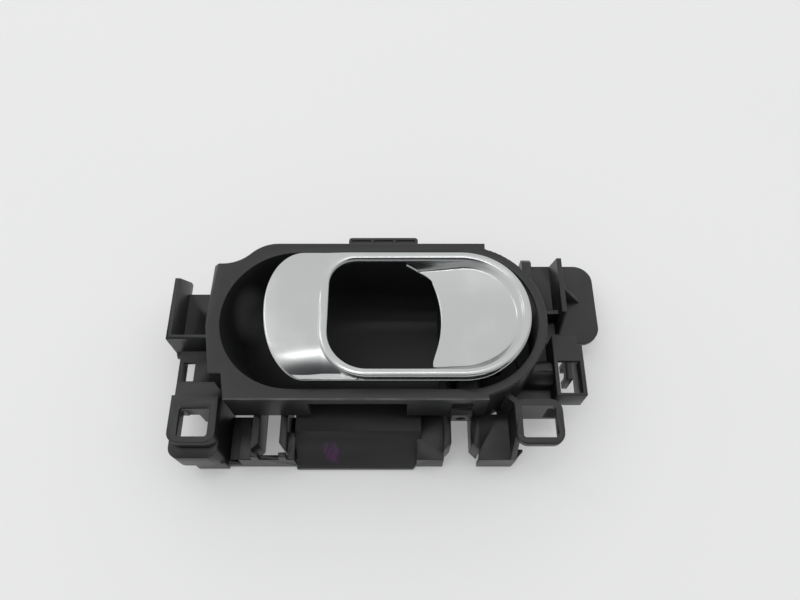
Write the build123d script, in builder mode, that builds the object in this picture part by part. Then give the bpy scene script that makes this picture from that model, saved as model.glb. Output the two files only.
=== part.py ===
import os
from math import acos, cos, radians, sin, sqrt, tan

from build123d import *

os.makedirs("parts", exist_ok=True)

# Millimetres. The origin is the centre of the finger cup on the plane the handle lies on,
# +X runs along the cup to the hinge end, +Z comes out of the handle's face.

# Moulding levels and walls
collar_top = 36.0
rim_thickness = 2.8
skirt_bottom = 17.5
ring_bottom = 9.6
wall = 2.4
rib = 1.8
floor_line = 0.0

# Finger cup: a long round-ended tub
cup_half_length = 56.1
cup_radius = 26.2
cup_taper = 6.2
cup_bottom_radius = 14.0

# Collar outline round the cup
ring_wall = 3.3
bay_wall = 2.4
bar_top_land = 0.9
bar_top_right = 38.9
bar_bottom_land = 0.5
bar_bottom_right = 37.4
bar_bottom_left = -51.8
shoulder_x = -37.6
shoulder_radius = 14.0
left_face_x = -60.9
left_step_y = 22.0
left_bend_y = -3.0
notch_left_x = -57.8
notch_right_x = -53.5
notch_y = -20.8
left_bevel = 2.0
left_bevel_drop = 2.4
collar_edge_round = 0.5

# Clip pocket at the left, a wall and a floor beside the collar
plate_top = 12.0
plate_thickness = 2.2
pocket_top = 26.0
pocket_left_x = -77.7
pocket_south_y = -4.0
pocket_north_y = 21.0
pocket_flare_y = 26.3
lip_radius = 2.4

# Window block under the pocket
sill_top = 14.0
sill_left_x = -75.4
sill_south_y = -22.0
sill_window_x = -71.6
sill_window_y = -12.3
sill_window_width = 4.4
sill_window_length = 7.2

# Left tower with its square clip hole
left_tower_top = 27.0
left_tower_x = -63.75
left_tower_width = 16.5
left_tower_south_y = -42.4
left_tower_north_y = -25.5
left_hole_x = -63.4
left_hole_y = -35.1
left_hole_width = 10.3
left_hole_length = 9.8
tier_top = 20.5
tier_south_y = -46.0
tier_bottom = 9.0
left_foot_left_x = -66.8
left_foot_south_y = -45.2
tower_corner = 4.0
tower_deck = 2.4
hole_corner = 1.0

# Right tower, with a wider hole
right_tower_top = 28.0
right_tower_x = 55.15
right_tower_width = 16.3
right_tower_y = -35.1
right_tower_length = 15.8
right_hole_width = 11.7
right_hole_length = 10.9
right_tower_deck = 3.2
strut_length = 7.0
strut_angle = -40.0

# Screw slots in the flanges
flange_top = 10.8
flange_front_y = -44.4
slot_width = 7.3
slot_rib_top = 15.0
slot_rib = 2.6
slot_mouth = 12.6
slot_mouth_depth = 2.6
left_slot_x = -39.2
right_slot_x = 29.4
left_flange_left_x = -50.3
flange_bridge_y = -34.4
right_flange_right_x = 51.5
flange_corner = 3.0
front_bar_height = 3.6
well_floor = 2.0

# Sloping shelf between the slots
shelf_left_x = -30.4
shelf_right_x = 15.2
shelf_back_y = -20.0
shelf_corner = 3.0
shelf_top = 13.0
shelf_bend_y = -34.4
shelf_front_y = -45.6
shelf_front_z = 2.4
shelf_thickness = 2.2

# Openings in the collar's front wall, and the screw block under the smaller one
front_window_left_x = -24.0
front_window_right_x = 9.9
front_window_top = 31.0
screw_block_x = 28.8
screw_block_width = 7.2
screw_block_front_y = -32.2
screw_block_bottom = 17.8
screw_block_top = 25.0
screw_window_top = 31.4
mount_hole_radius = 1.6
mount_hole_z = 20.9
mount_hole_depth = 4.4

# Right plate with its clip channel
plate_right_x = 84.4
plate_north_y = 33.6
plate_south_y = 0.0
plate_corner = 7.0
channel_wall_x = 69.4
channel_south_y = 7.0
channel_north_y = 29.7
channel_post_x = 57.6
gusset_y = 18.0
gusset_length = 8.6
gusset_top = 25.0
bridge_rib_y = 9.6
bridge_rib_top = 20.0

# Cable guide and cable window
guide_radius = 4.9
guide_z = 14.4
bracket_top = 22.0
bracket_bottom = 10.4
bracket_left_x = 63.4
bracket_right_x = 74.3
bracket_south_y = -24.0
bracket_north_y = -4.5
bracket_deck_y = -1.0
cable_window_width = 8.0
cable_window_length = 12.0
cable_window_y = -17.0
guide_wall = 1.8
fork_thickness = 2.0
fork_gap = 3.4
fork_half_width = 4.3

# Ribbed tab on the top edge
tab_left_x = -12.4
tab_right_x = 14.4
tab_reach = 8.4
tab_top = 26.0
tab_depth = 6.0
tab_rib = 1.2
tab_cells = 3

# Hinge
pivot_x = 31.0
pivot_depth = 10.8
pin_radius = 1.75
pin_south_y = -27.2
pin_north_y = 24.6
clip_y = 19.4
clip_width = 0.8
clip_radius = 3.4
pin_chamfer = 0.3
groove_depth = 0.4
boss_radius = 4.0
boss_inner_y = 21.6
bay_floor = 1.6
bay_window_left_x = 29.0
bay_window_right_x = 49.0
bay_window_north_y = 19.0
running_clearance = 0.05
seat_clearance = 0.02
divider_left_x = 22.6
divider_depth = 11.5

# Lever
lever_nose_x = -40.3
lever_nose_y = 4.0
nose_north_length = 13.0
nose_south_length = 15.8
lever_half_width = 23.9
lever_right_x = 53.0
lever_deck = 40.9
lever_thickness = 1.9
paddle_edge_drop = 0.8
paddle_crown = 0.7
paddle_roll_y = -11.5
paddle_lip = 0.8
lever_edge_round = 0.8
bead_radius = 1.7
bead_inset = 1.85
bead_drop = 1.0
ring_left_x = -19.5
ring_north_corner = 12.0
ring_south_corner = 17.0
dish_depth = 6.8
dish_low_x = 16.0
dish_tilt = 9.5
dish_thickness = 2.2
dish_wall = 0.3
dish_fillet = 3.6
dish_edge_x = 22.4
dish_edge_north_x = 14.6
dish_edge_south_x = 17.6

# Lever arm, under the dish
knuckle_radius = 3.8
knuckle_inner_y = 9.0
knuckle_outer_y = 18.0
arm_bar_left = 35.4
arm_bar_width = 6.0
arm_seat_depth = 7.8
cable_y = -13.4
cable_arm_reach = 13.5
cable_arm_lean = 45.0
cable_arm_radius = 3.4
cable_arm_width = 4.0
cable_slot_width = 1.8
nipple_radius = 1.9
screw_y = 8.6
screw_radius = 1.4
screw_head_radius = 2.5
screw_head_height = 1.8
screw_grip = 2.0
screw_recess = 0.7
arm_corner = 1.2

# Return spring
wire_radius = 0.5
coil_radius = 2.9
coil_turns = 4
coil_length = 6.4
spring_leg_right = 8.6
spring_leg_left = 7.0
spring_gap = 0.25
anchor_depth = 1.4
anchor_height = 2.4

# Rubber pads
pad_length = 7.0
pad_y = 9.0
pad_margin = 0.2
pad_gap = 0.3
stop_pad_height = 5.0

# Sizes that follow
cup_end_x = cup_half_length - cup_radius
ring_radius = cup_radius + ring_wall
bar_top_y = ring_radius + bar_top_land
bar_bottom_y = -ring_radius - bar_bottom_land
bay_radius = ring_radius - bay_wall
divider_right_x = divider_left_x + wall
lever_end_x = lever_right_x - lever_half_width
lever_under = lever_deck - lever_thickness
paddle_edge_z = lever_deck - paddle_edge_drop
bead_z = lever_deck - bead_drop
dish_low_z = lever_deck - dish_depth
arm_seat_z = lever_deck - arm_seat_depth
pivot_z = lever_deck - pivot_depth
divider_top = lever_deck - divider_depth
ring_line = lever_half_width - bead_inset
dish_slope = tan(radians(dish_tilt))
coil_bottom_z = pivot_z - coil_radius
arm_bar_bottom = coil_bottom_z + wire_radius + spring_gap
arm_bar_height = arm_seat_z - arm_bar_bottom
arm_bar_right = arm_bar_left + arm_bar_width
screw_x = (arm_bar_left + arm_bar_right) / 2
upward = (Align.CENTER, Align.CENTER, Align.MIN)
downward = (Align.CENTER, Align.CENTER, Align.MAX)


def dish_top(x):
    return dish_low_z + dish_slope * (x - dish_low_x)


def dish_under(x):
    return dish_top(x) - dish_thickness / cos(radians(dish_tilt))


def slab(x_range, y_range, z_range, corner=0.0, mode=Mode.ADD):
    (x0, x1), (y0, y1), (z0, z1) = x_range, y_range, z_range
    with BuildSketch(Plane.XY.offset(z0)) as outline:
        with Locations(((x0 + x1) / 2, (y0 + y1) / 2)):
            if corner:
                RectangleRounded(x1 - x0, y1 - y0, corner)
            else:
                Rectangle(x1 - x0, y1 - y0)
    extrude(outline.sketch, amount=z1 - z0, mode=mode)


def side_plate(x_range, points, mode=Mode.ADD):
    with BuildSketch(Plane.YZ.offset(x_range[0])) as outline:
        with BuildLine():
            Polyline(*points, close=True)
        make_face()
    extrude(outline.sketch, amount=x_range[1] - x_range[0], mode=mode)


def front_plate(y_range, points, mode=Mode.ADD):
    with BuildSketch(Plane.XZ.offset(-y_range[1])) as outline:
        with BuildLine():
            Polyline(*points, close=True)
        make_face()
    extrude(outline.sketch, amount=y_range[1] - y_range[0], mode=mode)


# Collar outline, with the round hinge end and the S-shaped shoulder at the far left
def collar_sketch(level, inset=0.0):
    ring = ring_radius - inset
    top_right = bar_top_right - inset
    top_y = bar_top_y - inset
    bottom_right = bar_bottom_right - inset
    bottom_y = bar_bottom_y + inset
    arc_top = (top_right, sqrt(ring**2 - (top_right - cup_end_x) ** 2))
    arc_bottom = (bottom_right, -sqrt(ring**2 - (bottom_right - cup_end_x) ** 2))
    turn = acos(1 - (bar_top_y - left_step_y) / (2 * shoulder_radius))
    outer_bend = shoulder_radius - inset
    inner_bend = shoulder_radius + inset
    shoulder_mid = (shoulder_x - outer_bend * sin(turn), top_y - outer_bend * (1 - cos(turn)))
    shoulder_end = (shoulder_mid[0] - inner_bend * sin(turn), left_step_y - inset)
    with BuildSketch(Plane.XY.offset(level)) as outline:
        with BuildLine():
            Polyline(arc_top, (top_right, top_y), (shoulder_x, top_y))
            RadiusArc((shoulder_x, top_y), shoulder_mid, -outer_bend)
            RadiusArc(shoulder_mid, shoulder_end, inner_bend)
            Polyline(
                shoulder_end,
                (left_face_x + inset, left_step_y - inset),
                (left_face_x + inset, left_bend_y),
                (notch_left_x + inset, notch_y + inset),
                (notch_right_x + inset, notch_y + inset),
                (bar_bottom_left + inset, bottom_y),
                (bottom_right, bottom_y),
                arc_bottom,
            )
            ThreePointArc(arc_bottom, (cup_end_x + ring, 0), arc_top)
        make_face()
    return outline.sketch


def tub_section(plane, grow, half, top=collar_top):
    bottom = floor_line + wall - grow
    draft = cup_taper / (collar_top - wall)
    low = cup_radius + grow - draft * (collar_top - bottom)
    high = cup_radius + grow - draft * (collar_top - top)
    with BuildSketch(plane) as section:
        with BuildLine():
            if half:
                Polyline((0, top), (high, top), (low, bottom), (0, bottom), close=True)
            else:
                Polyline((-high, top), (high, top), (low, bottom), (-low, bottom), close=True)
        make_face()
        corners = section.vertices().group_by(Axis.Y)[0].sort_by(Axis.X)
        fillet(corners[1:] if half else corners, cup_bottom_radius + grow)
    return section.sketch


def tub(grow, end_x, mode):
    start = Plane.YZ.offset(-cup_end_x)
    turning_axis = Axis((-cup_end_x, 0, 0), (0, 0, 1))
    revolve(tub_section(start, grow, True), turning_axis, revolution_arc=180, mode=mode)
    extrude(tub_section(start, grow, False), amount=end_x + cup_end_x, mode=mode)


def bay(radius, left_x, z_range, mode):
    with BuildSketch(Plane.XY.offset(z_range[0])) as outline:
        with Locations((cup_end_x, 0)):
            Circle(radius)
        with Locations(((left_x + cup_end_x) / 2, 0)):
            Rectangle(cup_end_x - left_x, 2 * radius)
        with Locations((left_x - radius, 0)):
            Rectangle(2 * radius, 2 * radius, mode=Mode.SUBTRACT)
    extrude(outline.sketch, amount=z_range[1] - z_range[0], mode=mode)


def clip_pocket():
    floor_z = plate_top - plate_thickness
    slab((pocket_left_x, left_face_x + wall), (pocket_south_y, pocket_north_y), (floor_z, plate_top))
    side_plate(
        (pocket_left_x, pocket_left_x + rib),
        [
            (pocket_south_y, floor_z),
            (pocket_south_y, pocket_top),
            (pocket_north_y, pocket_top),
            (pocket_flare_y, plate_top),
            (pocket_flare_y, floor_z),
        ],
    )
    slab(
        (pocket_left_x, left_face_x + wall / 2),
        (pocket_south_y, pocket_south_y + rib),
        (floor_z, pocket_top),
    )
    lip = Plane((pocket_left_x, pocket_south_y + rib / 2, floor_z), z_dir=(1, 0, 0))
    with BuildSketch(lip) as section:
        Circle(lip_radius)
    extrude(section.sketch, amount=left_face_x - pocket_left_x)


def window_block():
    bottom = tier_bottom
    north_y = pocket_south_y + rib
    east_x = notch_left_x + wall
    slab((sill_left_x, east_x), (sill_south_y, north_y), (bottom, sill_top))
    slab(
        (sill_left_x + rib, left_face_x - rib),
        (sill_south_y, north_y - rib),
        (bottom, sill_top - rib),
        mode=Mode.SUBTRACT,
    )
    with Locations((sill_window_x, sill_window_y, sill_top)):
        Box(sill_window_width, sill_window_length, 4 * rib, mode=Mode.SUBTRACT)


def south_rounded(x_range, y_range, z_range, corner):
    with BuildSketch(Plane.XY.offset(z_range[0])) as outline:
        with Locations((sum(x_range) / 2, sum(y_range) / 2)):
            Rectangle(x_range[1] - x_range[0], y_range[1] - y_range[0])
        fillet(outline.vertices().group_by(Axis.Y)[0], corner)
    extrude(outline.sketch, amount=z_range[1] - z_range[0])


def square_hole(x, y, top, width, length, depth):
    with BuildSketch(Plane.XY.offset(top)) as hole:
        with Locations((x, y)):
            RectangleRounded(width, length, hole_corner)
    extrude(hole.sketch, amount=-depth, mode=Mode.SUBTRACT)


def left_tower():
    left_x = left_tower_x - left_tower_width / 2
    right_x = left_tower_x + left_tower_width / 2
    inside_x = (left_x + rib, right_x - rib)
    inside_north_y = left_tower_north_y - rib
    south_rounded(
        (left_x - rib / 2, right_x),
        (tier_south_y, notch_y + wall),
        (tier_bottom, tier_top),
        tower_corner,
    )
    south_rounded(
        (left_x, right_x),
        (left_tower_south_y, left_tower_north_y),
        (tier_bottom, left_tower_top),
        tower_corner,
    )
    slab((left_foot_left_x, right_x), (left_foot_south_y, sill_south_y), (floor_line, tier_bottom))
    slab(
        inside_x,
        (left_tower_south_y + rib, inside_north_y),
        (floor_line, left_tower_top - tower_deck),
        mode=Mode.SUBTRACT,
    )
    slab(
        inside_x,
        (left_foot_south_y + rib, inside_north_y),
        (floor_line, tier_top - rib),
        mode=Mode.SUBTRACT,
    )
    square_hole(left_hole_x, left_hole_y, left_tower_top, left_hole_width, left_hole_length, 2 * tower_deck)


def right_tower():
    left_x = right_tower_x - right_tower_width / 2
    right_x = right_tower_x + right_tower_width / 2
    south_y = right_tower_y - right_tower_length / 2
    north_y = right_tower_y + right_tower_length / 2
    deck_z = right_tower_top - right_tower_deck
    slab((left_x, right_x), (south_y, north_y), (deck_z, right_tower_top), tower_corner)
    slab(
        (left_x, right_x - tower_corner),
        (north_y - rib, north_y),
        (ring_bottom, right_tower_top - rib / 2),
    )
    side_plate(
        (left_x, left_x + rib),
        [
            (north_y, ring_bottom),
            (north_y, right_tower_top - rib / 2),
            (south_y + tower_corner, right_tower_top - rib / 2),
            (flange_front_y, flange_top),
            (flange_front_y, ring_bottom),
        ],
    )
    with BuildSketch(Plane.XY.offset(ring_bottom)) as strut:
        with Locations(Location((left_x - rib / 4, north_y + rib / 4, 0), (0, 0, strut_angle))):
            Rectangle(strut_length, rib)
    extrude(strut.sketch, amount=right_tower_top - rib / 2 - ring_bottom)
    square_hole(
        right_tower_x,
        right_tower_y,
        right_tower_top,
        right_hole_width,
        right_hole_length,
        right_tower_top - floor_line,
    )


def flange(x_range, y_range):
    slab(x_range, y_range, (flange_top - plate_thickness, flange_top))
    slab(x_range, (y_range[0], y_range[0] + rib), (floor_line, flange_top))


def slot_walls(x, north_y):
    for side in (-1, 1):
        inner = x + side * slot_width / 2
        outer = inner + side * slot_rib
        edges = sorted((inner, outer))
        slab(edges, (flange_front_y, north_y), (floor_line, slot_rib_top))


def slot_cut(x, north_y, front_y):
    side = slot_width / 2
    mouth = slot_mouth / 2
    with BuildSketch(Plane.XY.offset(floor_line)) as gap:
        with BuildLine():
            Polyline(
                (x - side, north_y),
                (x - side, flange_front_y + 2 * slot_mouth_depth),
                (x - mouth, flange_front_y + slot_mouth_depth),
                (x - mouth, front_y),
                (x + mouth, front_y),
                (x + mouth, flange_front_y + slot_mouth_depth),
                (x + side, flange_front_y + 2 * slot_mouth_depth),
                (x + side, north_y),
                close=True,
            )
        make_face()
    extrude(gap.sketch, amount=slot_rib_top, mode=Mode.SUBTRACT)


def corner_cut(x, y, size, height):
    with BuildSketch(Plane.XY.offset(floor_line)) as corner:
        with BuildLine():
            Polyline((x, y), (x, y + size), (x - size, y), close=True)
        make_face()
    extrude(corner.sketch, amount=height, mode=Mode.SUBTRACT)


def shelf():
    under_z = shelf_top - shelf_thickness
    side_plate(
        (shelf_left_x, shelf_right_x),
        [
            (shelf_back_y, shelf_top),
            (shelf_bend_y, shelf_top),
            (shelf_front_y, shelf_front_z),
            (shelf_front_y, floor_line),
            (shelf_front_y + shelf_thickness, floor_line),
            (shelf_bend_y + shelf_thickness / 3, under_z),
            (shelf_back_y, under_z),
        ],
    )
    corner_cut(shelf_right_x, shelf_front_y, shelf_corner, shelf_top)


def right_plate():
    base_z = plate_top - plate_thickness
    with BuildSketch(Plane.XY.offset(base_z)) as outline:
        with Locations(((cup_end_x + plate_right_x) / 2, (plate_south_y + plate_north_y) / 2)):
            Rectangle(plate_right_x - cup_end_x, plate_north_y - plate_south_y)
        fillet(outline.vertices().group_by(Axis.X)[-1], plate_corner)
        with Locations((cup_end_x, 0)):
            Circle(ring_radius, mode=Mode.SUBTRACT)
        with Locations((cup_end_x + ring_radius / 2, plate_north_y)):
            Rectangle(ring_radius, 2 * (plate_north_y - channel_north_y), mode=Mode.SUBTRACT)
    extrude(outline.sketch, amount=plate_thickness)
    side_plate(
        (channel_wall_x - rib, channel_wall_x),
        [
            (channel_south_y - 2 * rib, base_z),
            (channel_south_y, pocket_top),
            (channel_north_y, pocket_top),
            (channel_north_y + 2 * rib, plate_top),
            (channel_north_y + 2 * rib, base_z),
        ],
    )
    side_plate(
        (channel_post_x - 2 * rib, channel_post_x),
        [
            (ring_radius / 2, base_z),
            (ring_radius / 2, pocket_top),
            (channel_north_y - rib, pocket_top),
            (channel_north_y, pocket_top - rib),
            (channel_north_y, base_z),
        ],
    )
    front_plate(
        (gusset_y - rib / 2, gusset_y + rib / 2),
        [
            (channel_wall_x - rib, base_z),
            (channel_wall_x - rib, gusset_top),
            (channel_wall_x, gusset_top),
            (channel_wall_x + gusset_length, plate_top),
            (channel_wall_x + gusset_length, base_z),
        ],
    )
    slab(
        (cup_end_x + cup_radius, channel_wall_x),
        (bridge_rib_y - rib / 2, bridge_rib_y + rib / 2),
        (base_z, bridge_rib_top),
    )


guide_plane = Plane((cup_end_x + cup_radius / 2, cable_y, guide_z), x_dir=(0, 1, 0), z_dir=(1, 0, 0))
guide_length = bracket_left_x + rib - cup_end_x - cup_radius / 2


def cable_bracket():
    slab(
        (bracket_left_x, bracket_right_x),
        (bracket_south_y, bracket_north_y),
        (bracket_bottom, bracket_top),
    )
    slab(
        (bracket_left_x, bracket_right_x - rib),
        (bracket_north_y - rib, bracket_deck_y),
        (plate_top - plate_thickness, bracket_top),
    )
    slab(
        (bracket_left_x, bracket_right_x - rib),
        (bracket_deck_y - rib, plate_south_y + rib),
        (plate_top - plate_thickness, plate_top),
    )
    slab(
        (bracket_left_x + rib, bracket_right_x - rib),
        (bracket_south_y + rib, bracket_north_y - rib),
        (bracket_bottom, bracket_top - rib),
        mode=Mode.SUBTRACT,
    )
    middle_x = (bracket_left_x + bracket_right_x) / 2
    with Locations((middle_x, cable_window_y, bracket_top)):
        Box(cable_window_width, cable_window_length, 4 * rib, mode=Mode.SUBTRACT)
    # Arched guide for the cable, from the hinge bay to the bracket
    with BuildSketch(guide_plane) as section:
        Circle(guide_radius)
        with Locations((0, (ring_bottom - guide_z) / 2)):
            Rectangle(2 * guide_radius, guide_z - ring_bottom)
    extrude(section.sketch, amount=guide_length)
    # Snap fork for the conduit's end
    slab(
        (middle_x - fork_thickness / 2, middle_x + fork_thickness / 2),
        (cable_y - fork_half_width, cable_y + fork_half_width),
        (bracket_bottom, bracket_top - rib / 2),
    )
    notch = Plane((middle_x - fork_thickness / 2, cable_y, guide_z), x_dir=(0, -1, 0), z_dir=(1, 0, 0))
    with BuildSketch(notch) as seat:
        Circle(nipple_radius)
        with Locations((0, guide_z / 2)):
            Rectangle(fork_gap, guide_z)
    extrude(seat.sketch, amount=fork_thickness, mode=Mode.SUBTRACT)


def top_tab():
    bottom_z = tab_top - tab_depth
    y0 = bar_top_y - wall
    y1 = bar_top_y + tab_reach
    slab((tab_left_x, tab_right_x), (y0, y1), (bottom_z, tab_top), tab_rib)
    cell = (tab_right_x - tab_left_x - tab_rib) / tab_cells
    for index in range(tab_cells):
        left_x = tab_left_x + tab_rib + index * cell
        slab(
            (left_x, left_x + cell - tab_rib),
            (bar_top_y, y1 - tab_rib),
            (bottom_z + tab_rib, tab_top),
            mode=Mode.SUBTRACT,
        )


def front_openings():
    slab(
        (front_window_left_x, front_window_right_x),
        (bar_bottom_y, bar_bottom_y + wall),
        (skirt_bottom, front_window_top),
        mode=Mode.SUBTRACT,
    )


def screw_block():
    side = screw_block_width / 2
    block_x = (screw_block_x - side, screw_block_x + side)
    slab(block_x, (screw_block_front_y, -cup_radius - wall / 2), (screw_block_bottom, screw_block_top))
    slab(
        block_x,
        (bar_bottom_y, bar_bottom_y + wall / 2),
        (screw_block_top, screw_window_top),
        mode=Mode.SUBTRACT,
    )
    face = Plane((screw_block_x, screw_block_front_y, mount_hole_z), z_dir=(0, 1, 0))
    with BuildSketch(face) as bore:
        Circle(mount_hole_radius)
    extrude(bore.sketch, amount=mount_hole_depth, mode=Mode.SUBTRACT)


# Assembly window behind the hinge, and the way out for the cable
def bay_openings():
    slab(
        (bay_window_left_x, bay_window_right_x),
        (rib, bay_window_north_y),
        (floor_line, ring_bottom + bay_floor),
        mode=Mode.SUBTRACT,
    )
    with BuildSketch(guide_plane) as bore:
        Circle(guide_radius - guide_wall)
    extrude(bore.sketch, amount=guide_length, mode=Mode.SUBTRACT)


def left_face_bevel():
    start = Vector(left_face_x + left_bevel, left_step_y, collar_top)
    along = Vector(-left_bevel, left_bend_y - left_step_y, 0)
    fall = Vector(-left_bevel, 0, -left_bevel_drop)
    with BuildSketch(Plane(start, x_dir=along, z_dir=fall.cross(along))) as strip:
        Rectangle(along.length, 4 * left_bevel_drop, align=(Align.MIN, Align.CENTER))
    extrude(strip.sketch, amount=2 * left_bevel_drop, mode=Mode.SUBTRACT)


def hinge_bosses():
    for y_range in ((-bay_radius, -boss_inner_y), (boss_inner_y, bay_radius)):
        with BuildSketch(Plane.XZ.offset(-y_range[1])) as cheek:
            with Locations((pivot_x, pivot_z)):
                Circle(boss_radius)
            with Locations((pivot_x, (pivot_z + ring_bottom) / 2)):
                Rectangle(2 * boss_radius, pivot_z - ring_bottom)
        extrude(cheek.sketch, amount=y_range[1] - y_range[0])
    with BuildSketch(Plane.XZ.offset(-pin_north_y)) as bore:
        with Locations((pivot_x, pivot_z)):
            Circle(pin_radius + seat_clearance)
    extrude(bore.sketch, amount=pin_north_y - bar_bottom_y, mode=Mode.SUBTRACT)
    slab(
        (divider_right_x - anchor_depth, divider_right_x),
        (coil_length / 2 - wire_radius, coil_length / 2 + 4 * wire_radius),
        (coil_bottom_z - anchor_height / 2, coil_bottom_z + anchor_height / 2),
        mode=Mode.SUBTRACT,
    )


with BuildPart() as housing:
    # Rim and skirt
    extrude(collar_sketch(skirt_bottom), amount=collar_top - skirt_bottom)
    fillet(housing.faces().sort_by(Axis.Z)[-1].edges(), collar_edge_round)
    extrude(
        collar_sketch(skirt_bottom, wall),
        amount=collar_top - rim_thickness - skirt_bottom,
        mode=Mode.SUBTRACT,
    )
    # Everything outside the collar
    clip_pocket()
    window_block()
    left_tower()
    flange((left_flange_left_x, shelf_left_x), (flange_front_y, flange_bridge_y))
    slot_walls(left_slot_x, -cup_radius / 2)
    slab(
        (left_tower_x + left_tower_width / 2 - rib, shelf_left_x),
        (flange_front_y, -cup_radius),
        (floor_line, well_floor),
    )
    slot_cut(left_slot_x, -cup_radius, flange_front_y + rib)
    slab(
        (left_tower_x, shelf_left_x + rib),
        (flange_front_y, flange_front_y + rib),
        (floor_line, front_bar_height),
    )
    shelf()
    flange((shelf_right_x - rib, right_flange_right_x), (flange_front_y, bar_bottom_y + wall))
    corner_cut(right_flange_right_x, flange_front_y, flange_corner, flange_top)
    slot_walls(right_slot_x, -cup_radius / 2)
    slot_cut(right_slot_x, -cup_radius, flange_front_y - rib)
    right_tower()
    right_plate()
    slab(
        (cup_end_x + cup_radius / 2, bracket_left_x + rib),
        (right_tower_y + right_tower_length / 2 - rib, plate_south_y + rib),
        (ring_bottom, ring_bottom + rib),
    )
    cable_bracket()
    top_tab()
    # Finger cup, and the hinge bay behind it
    front_openings()
    tub(wall, divider_right_x, Mode.ADD)
    bay(ring_radius, divider_left_x, (ring_bottom, collar_top - rim_thickness), Mode.ADD)
    tub(0, divider_right_x, Mode.SUBTRACT)
    bay(cup_radius, divider_right_x, (floor_line, collar_top), Mode.SUBTRACT)
    bay(bay_radius, divider_right_x, (ring_bottom + bay_floor, collar_top - rim_thickness), Mode.SUBTRACT)
    bay(bay_radius, divider_left_x, (ring_bottom, ring_bottom + bay_floor), Mode.ADD)
    extrude(
        tub_section(Plane.YZ.offset(divider_left_x), wall / 2, False, divider_top),
        amount=wall,
    )
    hinge_bosses()
    screw_block()
    bay_openings()
    left_face_bevel()

housing.part.label = "housing"
export_step(housing.part, "parts/housing.step")


# Satin pull lever: a rounded ring with the paddle at its left and the thumb dish at its right
def ring_wire(grow):
    half = ring_line + grow
    left = ring_left_x - grow
    north = ring_north_corner + grow
    south = ring_south_corner + grow
    Line((lever_end_x, half), (left + north, half))
    RadiusArc((left + north, half), (left, half - north), -north)
    Line((left, half - north), (left, south - half))
    RadiusArc((left, south - half), (left + south, -half), -south)
    Line((left + south, -half), (lever_end_x, -half))
    ThreePointArc((lever_end_x, -half), (lever_end_x + half, 0), (lever_end_x, half))


def ring_sketch(level, grow):
    with BuildSketch(Plane.XY.offset(level)) as outline:
        with BuildLine():
            ring_wire(grow)
        make_face()
    return outline.sketch


def dish_sketch(level, inset):
    with BuildSketch(Plane.XY.offset(level)) as outline:
        add(ring_sketch(0, -bead_radius - inset))
        with BuildSketch(mode=Mode.SUBTRACT):
            with BuildLine():
                north = (dish_edge_north_x, lever_half_width)
                south = (dish_edge_south_x, -lever_half_width)
                ThreePointArc(south, (dish_edge_x, 0), north)
                Polyline(north, (lever_nose_x, north[1]), (lever_nose_x, south[1]), south)
            make_face()
    return outline.sketch


with BuildPart() as dish_pocket:
    extrude(dish_sketch(dish_low_z - dish_thickness, dish_wall), amount=lever_half_width)
    front_plate(
        (-lever_half_width, lever_half_width),
        [
            (0, dish_top(0)),
            (lever_right_x, dish_top(lever_right_x)),
            (lever_right_x, 2 * lever_deck),
            (0, 2 * lever_deck),
        ],
        Mode.INTERSECT,
    )
    floor_edges = dish_pocket.faces().sort_by(Axis.Z)[0].edges()
    walled = floor_edges.filter_by(
        lambda edge: abs(edge.center().Y) > ring_line / 2 or edge.center().X > lever_end_x
    )
    fillet(walled, dish_fillet)

with BuildPart() as dish:
    extrude(dish_sketch(dish_under(0), -bead_radius / 2), amount=bead_z - dish_under(0))
    front_plate(
        (-lever_half_width, lever_half_width),
        [
            (0, dish_under(0)),
            (lever_right_x, dish_under(lever_right_x)),
            (lever_right_x, 2 * lever_deck),
            (0, 2 * lever_deck),
        ],
        Mode.INTERSECT,
    )
    add(dish_pocket.part, mode=Mode.SUBTRACT)

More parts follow.
